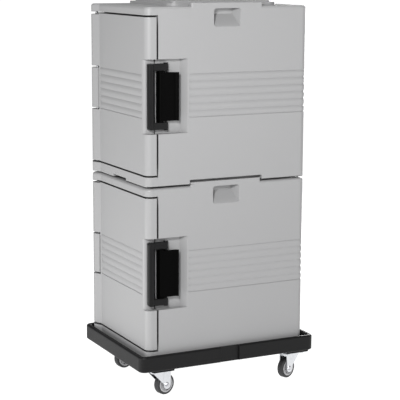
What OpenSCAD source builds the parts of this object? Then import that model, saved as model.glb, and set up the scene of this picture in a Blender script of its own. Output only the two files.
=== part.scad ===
// Two stacked, insulated, front-loading food pan carriers on a four-caster dolly.
// Origin on the floor below the middle of the boxes, +Z up.
// The doors face -Y, the hinges are at the front left and the latches on the +X side.

/* [Carrier box] */
// Width of a carrier across its sides
box_w = 457; // [430:1:490]
// Depth of a carrier from its front face to its back
box_d = 620; // [600:1:660]
// Height of a carrier from its rim to its shoulder
box_h = 602; // [580:1:640]
// Radius of the four upright corners
corner_r = 22; // [18:1:28]
// Radius of the rounded edge round the shoulder
edge_r = 9; // [5:0.5:12]

/* [Pan cavity] */
// Clear width between the pan rails
cavity_w = 320; // [300:1:326]
// Height of the cavity floor above the rim
cavity_floor = 70; // [60:1:80]
// Thickness from the cavity's ceiling to the shoulder
cavity_roof = 62; // [54:1:72]
// Thickness of the back wall
back_wall = 40; // [30:1:60]
// Radius of the two upright corners at the back of the cavity
cavity_r = 20; // [8:1:40]
// Height from one pan rail to the next
rail_pitch = 38.1; // [30:0.1:38.5]
// Least height left between the outermost grooves and the cavity's floor and ceiling
rail_end = 15; // [8:0.5:20]
// Depth of a pan groove in the side wall
groove_deep = 10; // [6:0.5:12]
// Height of a pan groove
groove_h = 20; // [14:1:24]

/* [Door] */
// Thickness of the door
door_t = 38.5; // [32:0.5:44]
// Height of the bottom rail below the door
rail_h = 33.7; // [28:0.1:40]
// Height of the header above the door
header_h = 28; // [24:0.5:40]
// Gap above and below the door
door_gap = 4.5; // [3:0.5:6]
// Gap between the back of the door and the cabinet
seal_gap = 4.5; // [3:0.1:6]
// How far the plug on the back of the door reaches past the door
plug_t = 14.5; // [8:0.5:20]
// Room between the plug and the cavity on each side
plug_play = 8; // [7:0.5:12]
// Corner radius of the plug
plug_r = 12; // [4:1:20]
// Width of the gasket
gasket_w = 12; // [8:0.5:12]
// Room between the plug and the gasket
gasket_room = 14; // [14:0.5:16]
// Room between the gasket and the front of the cabinet
seal_play = 0.3; // [0.2:0.1:0.5]

/* [Hinge] */
// Radius of the hinge column
column_r = 21; // [18:0.5:23]
// How far the hinge pin stands behind the front face
pin_inset = 6; // [4:0.5:10]
// Width from the side of the box to the foot of the column's flank
flank_w = 57; // [52:1:64]
// Diameter of the hinge pin
pin_d = 10; // [6:0.5:14]
// Running clearance round a pin
pin_play = 0.05; // [0.02:0.01:0.09]
// Height of the cabinet's middle knuckle
knuckle_h = 143; // [100:1:160]
// Gap above and below the middle knuckle
knuckle_gap = 6.5; // [4:0.5:9]
// How much shorter the door's column is than the door at the top
column_drop = 4.5; // [2:0.5:8]
// How much higher the door's column starts than the door
column_rise = 1.6; // [0.5:0.1:4]
// Width that the door's cut-out clears beside the pin
knuckle_room = 32; // [30:0.5:34]
// How far the middle knuckle reaches beside the pin
knuckle_reach = 26; // [22:0.5:27]
// Width of the web that carries the middle knuckle, beside the pin
web_reach = 18; // [12:0.5:20]
// Height of the pin's lower end above the rim
pin_foot = 6; // [3:1:12]
// Thickness left above the pin
pin_cap = 7; // [4:1:12]

/* [Ribs] */
// Number of ribs in the band round the box
rib_count = 6; // [4:1:7]
// Height of one rib
rib_pitch = 25; // [20:1:28]
// Depth of the grooves between the ribs
rib_deep = 2.5; // [1:0.1:3.5]
// Width of the flat along the top of a rib
rib_flat = 6; // [4:0.5:10]
// How far the outermost grooves stop short of a whole rib
rib_trim = 1; // [0.5:0.5:2]
// Distance from the left side to the start of the ribs on the door
rib_door_start = 61; // [58:1:80]
// Distance from the latch recess to the end of the ribs on the door
rib_door_end = 2; // [1:1:30]
// Distance from the latch recess to the start of the ribs on the side
rib_side_start = 8; // [4:1:40]

/* [Hand grips] */
// Width of a hand grip
grip_w = 102; // [90:1:130]
// Height of a hand grip
grip_h = 61.5; // [50:0.5:70]
// Depth of a hand grip under its lip
grip_deep = 34; // [28:0.5:40]
// Thickness of the lip over a hand grip, below the shoulder
grip_lip = 6.5; // [4:0.5:12]
// Straight height at the back of a hand grip
grip_back_h = 20; // [10:0.5:30]
// Width of a hand grip at its back
grip_back_w = 70; // [50:1:90]
// Corner radius of a hand grip
grip_r = 10; // [6:0.5:16]
// How far the middle of a hand grip stands in front of the middle of the box
grip_shift = 7; // [0:1:20]

/* [Stacking] */
// Gap between the shoulder of a carrier and the rim of the one above
stack_gap = 6; // [4:0.5:8]
// Width of the shoulder beside the raised plateau
plateau_inset = 50; // [46:1:60]
// Distance from the front face to the plateau
plateau_front = 110; // [90:1:130]
// Distance from the back to the plateau
plateau_rear = 90; // [70:1:110]
// Corner radius of the plateau
plateau_r = 35; // [25:1:50]
// Height of the plateau's lower step
plateau_step = 10; // [7:0.5:12]
// Height of the plateau's upper step
plateau_top = 7; // [5:0.5:9]
// Width of the step round the plateau's upper part
plateau_ledge = 20; // [15:1:24]
// Room between the plateau and the recess in the underside above it
plateau_play = 5; // [3:0.5:8]
// Length of the locating lug on each side
lug_len = 273; // [240:1:300]
// Width of the locating lug
lug_w = 22; // [16:1:26]
// Height of the locating lug above the shoulder
lug_h = 12.5; // [9:0.5:14]
// Room round the lug in the notch of the carrier above
lug_room = 4; // [3:0.5:6]
// Room above the lug in the notch of the carrier above
lug_top_room = 9; // [4:0.5:10]
// Corner radius of the lug
lug_r = 6; // [3:0.5:8]
// How far a lug is rooted below the rounded edge
lug_root = 1; // [0.5:0.5:4]
// Width of the finger notch in the front rim
notch_w = 112; // [90:1:140]
// Height of the finger notch
notch_h = 8; // [6:0.5:12]
// Depth of the finger notch
notch_deep = 30; // [20:1:40]

/* [Latch recess] */
// Height of the latch recess
recess_h = 251; // [246:1:270]
// Depth of the latch recess
recess_deep = 24; // [24:0.5:28]
// Length of the recess floor behind the front face
recess_len = 135; // [130:1:150]
// Length of the recess's sloping end
recess_slope = 18; // [12:1:26]
// Radius of the door's edge beside the recess
recess_round = 12; // [8:1:16]

/* [Latch] */
// Height of the latch's base plate
base_h = 174; // [166:1:182]
// Length of the base plate
base_len = 66; // [62:1:70]
// Thickness of the base plate
base_t = 3.5; // [3:0.1:4]
// How far the base plate's rear stays inside the ends of the lever
base_trim = 6; // [3:0.5:12]
// Room between the cabinet's front edge and the base plate
base_room = 3; // [1:0.5:5]
// Thickness of each ear of the base plate
ear_t = 5; // [4:0.5:8]
// Radius of an ear's round end
ear_r = 11; // [9:0.5:11]
// Distance from the base plate's front edge to the lever's pivot
pivot_in = 11; // [8:0.5:12]
// Height of the lever's pivot above the recess floor
pivot_up = 14; // [13:0.5:15]
// Diameter of the lever's pivot pin
pivot_d = 6; // [5:0.5:8]
// Radius of the lever's barrel
barrel_r = 9; // [7:0.5:9.5]
// Side room between pieces of the latch
latch_play = 0.5; // [0.3:0.1:1]
// Thickness of the paddle
paddle_t = 5; // [3:0.5:6]
// Length of the paddle's flat part from the pivot
paddle_len = 44; // [40:1:52]
// Radius of the paddle's finger lip
lip_r = 20; // [16:1:26]
// Angle that the finger lip turns through
lip_turn = 50; // [30:1:60]
// Distance from the lever's pivot to the bail's pivot
crank_r = 20; // [19:0.5:22]
// Angle of the bail's pivot round the lever's pivot, from the outward direction
crank_turn = 95; // [90:1:100]
// Radius of the lever's boss round the bail's pivot
boss_r = 6; // [5:0.5:7]
// Height of the lever's boss
boss_h = 25; // [20:1:36]
// Diameter of a bail pin
bail_pin_d = 5; // [4:0.5:6]
// Length of a bail pin inside the lever
bail_pin_in = 15; // [10:1:18]
// Thickness of a bail arm
arm_t = 23; // [16:0.5:26]
// How far the hub at the end of a bail arm stands proud of the arm
hub_rise = 3; // [1:0.5:5]
// Half width of a bail arm
arm_r = 8; // [7:0.5:8.5]
// Radius of the bail's spacer beside the ear
spacer_r = 5; // [4:0.5:6]
// Distance from the front face to the bail's bar
bar_front = 8.6; // [6:0.2:10]
// Length of the bail's bar from front to back
bar_len = 21.4; // [18:0.2:24]
// How far the bail's bar stands off the recess floor
bar_room = 2; // [1.8:0.1:3]
// Thickness of the bail's bar
bar_t = 23.5; // [20:0.5:25]
// Corner radius of the bail's bar
bar_r = 8; // [5:0.5:9]
// Distance from the base plate's front edge to its screws
screw_at = [30, 56]; // [24:1:60]
// Half the height between the screws
screw_z = 60; // [40:1:75]
// Diameter of a screw
screw_d = 5; // [4:0.5:6]
// Diameter of a screw's countersunk head
screw_head_d = 9; // [8:0.5:10]
// Height of a screw's countersunk head
screw_head_h = 2.5; // [2:0.1:2.8]
// Length of a screw in the wall
screw_len = 16; // [10:1:20]

/* [Dolly] */
// Room between a carrier's side and the dolly's lip
tray_room = 9.5; // [5:0.5:14]
// Room between a carrier's front or back face and the dolly's lip
tray_end_room = 17; // [16:0.5:24]
// Outer corner radius of the dolly
dolly_r = 24; // [20:1:40]
// Height of the dolly's lip above its floor
lip_h = 24.5; // [18:0.5:32]
// Thickness of the dolly's lip
lip_t = 18; // [16:0.5:19]
// Radius of the rounded top of the lip
lip_round = 7; // [4:0.5:8]
// Radius of the rounded lower edge of the skirt
skirt_round = 6; // [3:0.5:9]
// Thickness of the dolly's floor
floor_t = 22; // [16:1:26]
// How far the skirt hangs below the top of the floor
skirt_h = 31; // [28:1:36]
// Width of the strap groove in each long side
strap_w = 73; // [60:1:90]
// Depth of the strap groove
strap_deep = 7; // [4:0.5:9]
// Thickness of the ribs under the floor
stiffener_t = 10; // [6:1:14]
// Number of ribs under the floor across the dolly
stiffener_count = 5; // [3:1:7]

/* [Casters] */
// Overall height of a caster from floor to mounting face
caster_h = 100; // [96:1:110]
// Distance of a caster's kingpin from the side of the dolly
caster_side = 78; // [72:1:96]
// Distance of a front caster's kingpin from the front of the dolly
caster_front = 98; // [56:1:120]
// Distance of a back caster's kingpin from the back of the dolly
caster_rear = 50; // [48:1:100]
// Length of a caster's mounting plate across the dolly
plate_len = 92; // [84:1:96]
// Width of a caster's mounting plate
plate_w = 66; // [58:1:72]
// Thickness of a caster's mounting plate
plate_t = 3; // [2.5:0.5:4]
// Corner radius of the mounting plate
plate_r = 6; // [3:0.5:10]
// Distance between a plate's bolts along its length
bolt_long = 72; // [68:1:78]
// Distance between a plate's bolts across its width
bolt_wide = 46; // [40:1:50]
// Diameter of a caster bolt
bolt_d = 8; // [6:0.5:8]
// Width of a caster bolt's six-sided head across its flats
bolt_head_d = 13; // [11:0.5:13]
// Height of a caster bolt's head
bolt_head_h = 4.5; // [4:0.5:5]
// Length of a caster bolt in the pad
bolt_in = 25; // [18:1:30]
// Height of the pad under the floor at each caster
pad_h = 21; // [18:1:24]
// Room round a mounting plate on its pad
pad_room = 9; // [4:1:14]
// Distance from the kingpin to the wheel's axle
trail = 30; // [26:0.5:34]
// Diameter of a wheel
wheel_d = 75; // [70:1:78]
// Width of a wheel's tyre
tyre_w = 24; // [20:0.5:26]
// Radius of a tyre's shoulders
tyre_r = 4; // [3:0.5:5]
// Diameter of a wheel's hub
hub_d = 58; // [46:1:62]
// Diameter of the hub's middle boss
hub_boss_d = 20; // [16:0.5:24]
// Depth of the dish in each face of the hub
hub_dish = 5; // [3:0.5:7]
// Number of spokes across the dish of the hub
spoke_count = 8; // [5:1:12]
// Thickness of a spoke
spoke_t = 2.5; // [1.5:0.5:4]
// How far a spoke stays below the hub's rim
spoke_sink = 1.5; // [1:0.5:3]
// Side room between the hub and a fork leg
hub_play = 0.5; // [0.3:0.1:1]
// Thickness of a fork leg
leg_t = 2.5; // [2:0.5:4]
// Inside width of the fork
fork_w = 30; // [28:0.5:34]
// Radius of a fork leg's round end
leg_r = 16; // [14:0.5:20]
// How far the middle of a leg stands proud of its gusset
leg_rise = 0.8; // [0.5:0.1:1.5]
// Diameter of a wheel's axle
axle_d = 8; // [6:0.5:10]
// Width of an axle's six-sided head and nut across their flats
axle_head_d = 13; // [12:0.5:16]
// Height of an axle's head
axle_head_h = 4; // [3:0.5:6]
// Height of an axle's nut
axle_nut_h = 5; // [4:0.5:7]
// How far the axle's end stands out of its nut
axle_tail = 2; // [1:0.5:4]
// Radius of a fork's swivel head
head_r = 27; // [24:0.5:29]
// Height of a fork's swivel head
head_h = 8; // [6:0.5:10]
// Radius of the bearing ring under a mounting plate
race_r = 24; // [20:0.5:26]
// Height of the bearing ring
race_h = 5; // [5:0.5:6]
// Room between a bearing ring and the fork
race_play = 0.3; // [0.2:0.1:0.5]
// Diameter of a kingpin
king_d = 10; // [8:0.5:12]
// Diameter of a kingpin's lower head
king_head_d = 16; // [14:0.5:18]
// Height of a kingpin's lower head
king_head_h = 3; // [2:0.5:4]

/* [Hidden] */
$fn = 64;

shell_grey = [0.72, 0.72, 0.73];
latch_black = [0.10, 0.10, 0.11];
dolly_grey = [0.24, 0.24, 0.26];
zinc = [0.75, 0.77, 0.80];
steel = [0.62, 0.63, 0.65];
rubber_black = [0.13, 0.13, 0.13];
tyre_grey = [0.30, 0.30, 0.31];
hub_grey = [0.66, 0.66, 0.66];

// Past: how far a cutter reaches beyond the face that it cuts
past = 5;

// Heights in the carrier's own frame, from the bottom of its rim
front_y = -box_d / 2;
back_y = box_d / 2;
side_x = box_w / 2;
door_back_y = front_y + door_t;
cabinet_front_y = door_back_y + seal_gap;
header_z = box_h - header_h;
cavity_h = box_h - cavity_floor - cavity_roof;
rail_count = floor((cavity_h - groove_h - 2 * rail_end) / rail_pitch) + 1;
door_z0 = rail_h + door_gap;
door_z1 = header_z - door_gap;
mid_z = (door_z0 + door_z1) / 2;
plateau_z = box_h + plateau_step + plateau_top;
stack_pitch = box_h + stack_gap;
under_deep = plateau_z - stack_pitch;

// Outer size of the dolly, from the carrier that stands in it
dolly_w = box_w + 2 * (tray_room + lip_t);
dolly_d = box_d + 2 * (tray_end_room + lip_t);

// Floor of the dolly above the ground, and the foot of each carrier
floor_z = caster_h + pad_h + floor_t;
function carrier_z(level) = floor_z + level * stack_pitch;

// The hinge column's plan: a circle round the pin and a straight flank back to the door
pin = [-side_x + column_r, front_y + pin_inset];
foot = [-side_x + flank_w, front_y];
foot_reach = norm(foot - pin);
flank_len = sqrt(foot_reach * foot_reach - column_r * column_r);
flank_turn = asin(column_r / foot_reach) - atan2(pin_inset, foot[0] - pin[0]);
// The flank starts a hair inside the circle and runs on behind the front face
flank_bite = 0.1;
flank_lap_turn = 10;
flank_over = 2;
flank_run = flank_len + edge_r / sin(flank_turn) + flank_over;
swing_r = door_back_y - pin[1];
pin_top = box_h - pin_cap;

// A rectangle with round corners, from its lower left corner
module round_rect(size, r) {
  translate([r, 0]) square([size[0] - 2 * r, size[1]]);
  translate([0, r]) square([size[0], size[1] - 2 * r]);
  for (x = [r, size[0] - r], y = [r, size[1] - r])
    translate([x, y]) circle(r);
}

// Section of a wall whose upper outer edge is rounded
module edge_section(reach, high, r) {
  difference() {
    square([reach, high]);
    translate([reach - r, high - r])
      difference() {
        square(r + past);
        circle(r);
      }
  }
}

// Runs a section that lies outside a rounded rectangle round the rectangle
module round_the_box(w, d, r) {
  for (turn = [0, 1])
    rotate(180 * turn) {
      translate([w / 2, d / 2 - r, 0])
        rotate([90, 0, 0])
          linear_extrude(d - 2 * r) children();
      translate([w / 2 - r, d / 2, 0])
        rotate([90, 0, 90]) mirror([0, 0, 1])
          linear_extrude(w - 2 * r) children();
      translate([w / 2 - r, d / 2 - r, 0])
        rotate_extrude(angle = 90) translate([r, 0]) children();
      translate([-w / 2 + r, d / 2 - r, 0])
        rotate(90) rotate_extrude(angle = 90) translate([r, 0]) children();
    }
}

// A block with round upright corners and a rounded upper edge
module rounded_block(w, d, h, r, edge) {
  translate([-w / 2 + r, -d / 2 + r, 0]) cube([w - 2 * r, d - 2 * r, h]);
  round_the_box(w, d, r)
    translate([-r, 0]) edge_section(r, h, edge);
}

// Plan of the hinge column
module column_plan() {
  translate(pin) {
    circle(column_r);
    translate([-column_r, 0]) square([column_r, corner_r - pin_inset]);
    rotate(flank_turn) translate([0, flank_bite - column_r]) square([flank_run, column_r]);
  }
}

// The header's part of the column, with its upper edge rounded like the shoulder
module header_column() {
  translate([pin[0], pin[1], header_z]) {
    rotate(180)
      rotate_extrude(angle = 90 + flank_turn + flank_lap_turn) edge_section(column_r, header_h, edge_r);
    translate([0, corner_r - pin_inset, 0])
      rotate([90, 0, 180]) mirror([0, 0, 1])
        linear_extrude(corner_r - pin_inset) edge_section(column_r, header_h, edge_r);
    rotate(flank_turn)
      rotate([90, 0, -90]) mirror([0, 0, 1])
        linear_extrude(flank_run) edge_section(column_r - flank_bite, header_h, edge_r);
  }
}

// The web and the knuckle that carry the pin at the middle of the door
module middle_knuckle() {
  translate([0, 0, mid_z - knuckle_h / 2])
    linear_extrude(knuckle_h) {
      intersection() {
        column_plan();
        translate([pin[0] - column_r, front_y - column_r])
          square([column_r + knuckle_reach, 3 * column_r]);
      }
      translate([-side_x, pin[1]])
        square([column_r + web_reach, cabinet_front_y - pin[1] + past]);
    }
}

// Grooves between ribs, in section: x is outward from the wall, y is up
module rib_section() {
  band_h = rib_count * rib_pitch;
  // The flat on a rib is where its arc would stand proud of the wall
  half_pitch = rib_pitch / 2;
  proud = rib_deep * pow(rib_flat / 2, 2) / (pow(half_pitch, 2) - pow(rib_flat / 2, 2));
  sag = rib_deep + proud;
  rib_r = (half_pitch * half_pitch + sag * sag) / (2 * sag);
  difference() {
    translate([-rib_deep - past, -band_h / 2 + rib_trim])
      square([rib_deep + 2 * past, band_h - 2 * rib_trim]);
    for (i = [0:rib_count - 1])
      translate([proud - rib_r, (i + 0.5) * rib_pitch - band_h / 2]) circle(rib_r);
  }
}

// Rib grooves round the back of the cabinet, from the side facing the latch to the hinge side
module cabinet_ribs() {
  start = recess_len + recess_slope + rib_side_start;
  translate([0, 0, mid_z]) {
    for (side = [0, 1])
      mirror([side, 0, 0]) {
        translate([side_x, back_y - corner_r, 0])
          rotate([90, 0, 0]) linear_extrude(box_d - corner_r - start) rib_section();
        translate([side_x - corner_r, back_y - corner_r, 0])
          rotate_extrude(angle = 90) translate([corner_r, 0]) rib_section();
      }
    translate([side_x - corner_r, back_y, 0])
      rotate([90, 0, 90]) mirror([0, 0, 1])
        linear_extrude(box_w - 2 * corner_r) rib_section();
  }
}

// Rib grooves across the front of the door
module door_ribs() {
  end_x = side_x - recess_deep - recess_round - rib_door_end;
  translate([-side_x + rib_door_start, front_y, mid_z])
    rotate([90, 0, -90]) mirror([0, 0, 1])
      linear_extrude(end_x + side_x - rib_door_start) rib_section();
}

// The latch recess in plan, with the door's edge rounded into it
module recess_plan() {
  floor_x = side_x - recess_deep;
  translate([floor_x, front_y - past]) square([recess_deep + past, recess_len + past]);
  polygon([[floor_x, front_y + recess_len],
           [side_x, front_y + recess_len + recess_slope],
           [side_x + past, front_y + recess_len + recess_slope],
           [side_x + past, front_y + recess_len]]);
  difference() {
    translate([floor_x - recess_round, front_y - past]) square([recess_round, recess_round + past]);
    translate([floor_x - recess_round, front_y + recess_round]) circle(recess_round);
  }
}

module latch_recess() {
  translate([0, 0, mid_z - recess_h / 2])
    linear_extrude(recess_h) recess_plan();
}

// One hand grip: an outline, a sloping floor and tapering ends, cut together
module hand_grip() {
  top_z = box_h - grip_lip;
  low_z = top_z - grip_h;
  mid_y = -grip_shift;
  intersection() {
    translate([side_x - grip_deep - past, mid_y - grip_w / 2, low_z])
      rotate([90, 0, 90])
        linear_extrude(grip_deep + 2 * past) round_rect([grip_w, grip_h], grip_r);
    translate([0, mid_y + grip_w / 2, 0])
      rotate([90, 0, 0])
        linear_extrude(grip_w)
          polygon([[side_x + past, low_z - past],
                   [side_x + past, top_z + past],
                   [side_x - grip_deep, top_z + past],
                   [side_x - grip_deep, top_z - grip_back_h],
                   [side_x, low_z]]);
    translate([0, mid_y, low_z - past])
      linear_extrude(grip_h + 2 * past)
        polygon([[side_x + past, -grip_w / 2],
                 [side_x, -grip_w / 2],
                 [side_x - grip_deep, -grip_back_w / 2],
                 [side_x - grip_deep, grip_back_w / 2],
                 [side_x, grip_w / 2],
                 [side_x + past, grip_w / 2]]);
  }
}

// The pan cavity with its grooves
module pan_cavity() {
  cavity_back = back_y - back_wall;
  first_groove = cavity_floor + (cavity_h - (rail_count - 1) * rail_pitch - groove_h) / 2;
  translate([0, 0, cavity_floor])
    linear_extrude(cavity_h) {
      translate([-cavity_w / 2, cabinet_front_y - past])
        square([cavity_w, cavity_back - cavity_r - cabinet_front_y + past]);
      translate([-cavity_w / 2 + cavity_r, cavity_back - cavity_r - past])
        square([cavity_w - 2 * cavity_r, cavity_r + past]);
      for (side = [-1, 1])
        translate([side * (cavity_w / 2 - cavity_r), cavity_back - cavity_r]) circle(cavity_r);
    }
  for (i = [0:rail_count - 1])
    translate([-cavity_w / 2 - groove_deep, cabinet_front_y - past, first_groove + i * rail_pitch])
      cube([cavity_w + 2 * groove_deep, cavity_back - cavity_r - cabinet_front_y + past, groove_h]);
}

// Plan of the stacking plateau, shrunk or grown by a margin
module plateau_plan(shrink, r) {
  translate([-side_x + plateau_inset + shrink, front_y + plateau_front + shrink])
    round_rect([box_w - 2 * plateau_inset - 2 * shrink,
                box_d - plateau_front - plateau_rear - 2 * shrink], r);
}

// Raised plateau and lugs that the next carrier drops over
module stacking_top() {
  translate([0, 0, box_h - past])
    linear_extrude(past + plateau_step) plateau_plan(0, plateau_r);
  translate([0, 0, box_h - past])
    linear_extrude(past + plateau_step + plateau_top)
      plateau_plan(plateau_ledge, plateau_r - plateau_ledge);
  for (side = [0, 1])
    mirror([side, 0, 0])
      translate([side_x - lug_w, -grip_shift - lug_len / 2, box_h - edge_r - lug_root])
        linear_extrude(edge_r + lug_root + lug_h) {
          square([lug_w - lug_r, lug_len]);
          translate([0, lug_r]) square([lug_w, lug_len - 2 * lug_r]);
          for (y = [lug_r, lug_len - lug_r])
            translate([lug_w - lug_r, y]) circle(lug_r);
        }
}

// Recess, lug notches and finger notch in the underside
module stacking_underside() {
  translate([0, 0, -past])
    linear_extrude(past + under_deep) plateau_plan(-plateau_play, plateau_r + plateau_play);
  for (side = [0, 1])
    mirror([side, 0, 0])
      translate([side_x - lug_w - lug_room, -grip_shift - lug_len / 2 - lug_room, -past])
        cube([lug_w + lug_room + past, lug_len + 2 * lug_room,
              past + lug_h - stack_gap + lug_top_room]);
  translate([-notch_w / 2, front_y - past, -past])
    cube([notch_w, notch_deep + past, notch_h + past]);
}

module cabinet_shell() {
  difference() {
    union() {
      difference() {
        rounded_block(box_w, box_d, box_h, corner_r, edge_r);
        translate([-side_x - past, front_y - past, rail_h])
          cube([box_w + 2 * past, cabinet_front_y - front_y + past, header_z - rail_h]);
      }
      linear_extrude(rail_h + column_rise) column_plan();
      header_column();
      middle_knuckle();
      stacking_top();
    }
    pan_cavity();
    stacking_underside();
    cabinet_ribs();
    latch_recess();
    for (side = [0, 1])
      mirror([side, 0, 0]) hand_grip();
    translate([pin[0], pin[1], -past])
      cylinder(h = pin_top + past, d = pin_d + 2 * pin_play);
    latch_screw_places() screw_shape(pin_play);
  }
}

// The door's plan: a slab with the box's corners and a round back edge beside the pin
module door_slab_plan() {
  difference() {
    intersection() {
      translate([-side_x, front_y]) round_rect([box_w, box_d], corner_r);
      translate([-side_x, front_y]) square([box_w, door_t]);
    }
    difference() {
      translate([-side_x - past, pin[1]]) square([column_r + past, door_t]);
      translate(pin) circle(swing_r);
    }
  }
}

module door_column_plan() {
  difference() {
    column_plan();
    difference() {
      translate([-side_x - past, pin[1]]) square([column_r + past, door_t]);
      translate(pin) circle(swing_r);
    }
  }
}

// Places a plan that stands upright on the door's back, and thickens it away from the door
module behind_door(thick, rooted = 0) {
  translate([0, door_back_y + thick, 0])
    rotate([90, 0, 0]) linear_extrude(thick + rooted) children();
}

module plug_plan(grow) {
  plug_w = cavity_w - 2 * plug_play + 2 * grow;
  plug_h = cavity_h - 2 * plug_play + 2 * grow;
  translate([-plug_w / 2, cavity_floor + plug_play - grow])
    round_rect([plug_w, plug_h], plug_r + grow);
}

module door_panel() {
  cut_h = knuckle_h + 2 * knuckle_gap;
  difference() {
    union() {
      translate([0, 0, door_z0]) linear_extrude(door_z1 - door_z0) door_slab_plan();
      translate([0, 0, door_z0 + column_rise])
        linear_extrude(door_z1 - column_drop - door_z0 - column_rise) door_column_plan();
      behind_door(plug_t, past) plug_plan(0);
    }
    translate([-side_x - past, front_y - column_r, mid_z - cut_h / 2])
      cube([column_r + knuckle_room + past, column_r + door_t + past, cut_h]);
    translate([pin[0], pin[1], 0]) cylinder(h = box_h, d = pin_d + 2 * pin_play);
    latch_recess();
    door_ribs();
  }
}

module gasket_ring() {
  behind_door(seal_gap - seal_play)
    difference() {
      plug_plan(gasket_room + gasket_w);
      plug_plan(gasket_room);
    }
}

module hinge_pin_rod() {
  translate([pin[0], pin[1], pin_foot]) cylinder(h = pin_top - pin_foot, d = pin_d);
}

// Latch, in its own frame: x is out from the side wall, y is back from the front face,
// z is up from the latch's middle
base_front = door_t + seal_gap + base_room;
pivot = [pivot_up - recess_deep, base_front + pivot_in];
crank = pivot + crank_r * [cos(crank_turn), sin(crank_turn)];
lever_h = base_h - 2 * ear_t - 2 * latch_play;
arm_z = base_h / 2 + latch_play;
bail_h = 2 * (arm_z + arm_t);

module at_latch() {
  translate([side_x, front_y, mid_z]) children();
}

module screw_shape(play) {
  translate([0, 0, -screw_len]) cylinder(h = screw_len, d = screw_d + 2 * play);
  translate([0, 0, base_t - screw_head_h])
    cylinder(h = screw_head_h, d1 = screw_d + 2 * play, d2 = screw_head_d + 2 * play);
  cylinder(h = base_t - screw_head_h, d = screw_d + 2 * play);
}

module latch_screw_places() {
  at_latch()
    for (along = screw_at, up = [-screw_z, screw_z])
      translate([-recess_deep, base_front + along, up]) rotate([0, 90, 0]) children();
}

module latch_base_plate() {
  difference() {
    at_latch() {
      translate([-recess_deep, base_front, base_trim - lever_h / 2])
        cube([base_t, base_len, lever_h - 2 * base_trim]);
      translate([-recess_deep, base_front, -base_h / 2])
        cube([base_t, pivot_in + ear_r, base_h]);
      for (top = [0, 1])
        mirror([0, 0, top])
          translate([0, 0, -base_h / 2])
            linear_extrude(ear_t) {
              translate(pivot) circle(ear_r);
              translate([-recess_deep, base_front])
                square([pivot_up, pivot_in + ear_r]);
            }
    }
    at_latch()
      translate([pivot[0], pivot[1], -base_h]) cylinder(h = 2 * base_h, d = pivot_d + 2 * pin_play);
    latch_screw_places() screw_shape(pin_play);
  }
}

module pivot_rod() {
  at_latch()
    translate([pivot[0], pivot[1], -base_h / 2]) cylinder(h = base_h, d = pivot_d);
}

// The paddle in plan: barrel, flat and curled finger lip
module paddle_plan() {
  face_x = pivot[0] + barrel_r;
  lip_y = pivot[1] + paddle_len;
  translate(pivot) circle(barrel_r);
  translate([face_x - paddle_t, pivot[1]]) square([paddle_t, paddle_len]);
  translate([face_x + lip_r, lip_y])
    intersection() {
      difference() {
        circle(lip_r + paddle_t);
        circle(lip_r);
      }
      polygon([[0, 0], [-2 * lip_r, 0], [-2 * lip_r, 2 * lip_r * tan(lip_turn)]]);
    }
}

module lever_shape() {
  face_x = pivot[0] + barrel_r;
  at_latch()
    difference() {
      union() {
        translate([0, 0, -lever_h / 2]) linear_extrude(lever_h) paddle_plan();
        for (top = [0, 1])
          mirror([0, 0, top])
            translate([0, 0, -lever_h / 2])
              linear_extrude(boss_h) {
                translate(crank) circle(boss_r);
                translate([crank[0], crank[1] - boss_r])
                  square([face_x - crank[0] - paddle_t / 2, 2 * boss_r]);
              }
      }
      translate([pivot[0], pivot[1], -lever_h]) cylinder(h = 2 * lever_h, d = pivot_d + 2 * pin_play);
      for (top = [0, 1])
        mirror([0, 0, top])
          translate([crank[0], crank[1], -lever_h / 2 - past])
            cylinder(h = bail_pin_in + past, d = bail_pin_d + 2 * pin_play);
    }
}

// The bail: its plan through the bar and arms, cut to its C-shaped side view
module bail_shape() {
  bar_x = bar_room - recess_deep;
  at_latch()
    difference() {
      union() {
        intersection() {
          translate([0, 0, -bail_h / 2])
            linear_extrude(bail_h) {
              translate([bar_x, bar_front]) round_rect([bar_t, bar_len], bar_r);
              translate([crank[0] - arm_r, bar_front + bar_r])
                square([2 * arm_r, crank[1] - bar_front - bar_r]);
              translate(crank) circle(arm_r);
            }
          rotate([90, 0, 90])
            translate([bar_front, -bail_h / 2, -2 * recess_deep])
              linear_extrude(4 * recess_deep)
                difference() {
                  round_rect([crank[1] + arm_r - bar_front + bar_r, bail_h], bar_r);
                  translate([bar_len, arm_t])
                    round_rect([crank[1] + 2 * arm_r, bail_h - 2 * arm_t], bar_r / 2);
                }
        }
        for (top = [0, 1])
          mirror([0, 0, top])
            translate([crank[0], crank[1], lever_h / 2 + latch_play])
              cylinder(h = ear_t + latch_play, r = spacer_r);
        for (top = [0, 1])
          mirror([0, 0, top])
            translate([crank[0], crank[1], arm_z + latch_play])
              cylinder(h = arm_t + hub_rise - latch_play, r = arm_r);
      }
      for (top = [0, 1])
        mirror([0, 0, top])
          translate([crank[0], crank[1], lever_h / 2 - past])
            cylinder(h = bail_h, d = bail_pin_d + 2 * pin_play);
    }
}

module bail_pin_rods() {
  at_latch()
    for (top = [0, 1])
      mirror([0, 0, top])
        translate([crank[0], crank[1], lever_h / 2 - bail_pin_in + latch_play])
          cylinder(h = arm_z + arm_t + hub_rise - lever_h / 2 + bail_pin_in - latch_play,
                   d = bail_pin_d);
}

// Dolly and casters, from the ground up: each kingpin's place, and the way that its wheel trails
caster_x = dolly_w / 2 - caster_side;
front_caster_y = -dolly_d / 2 + caster_front;
back_caster_y = dolly_d / 2 - caster_rear;
caster_spots = [[-caster_x, front_caster_y, 100], [caster_x, front_caster_y, 105],
                [-caster_x, back_caster_y, -80], [caster_x, back_caster_y, -68]];
mount_z = caster_h;
axle_z = wheel_d / 2;
race_z = mount_z - plate_t - race_h;
head_z = race_z - race_play - head_h;

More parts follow.
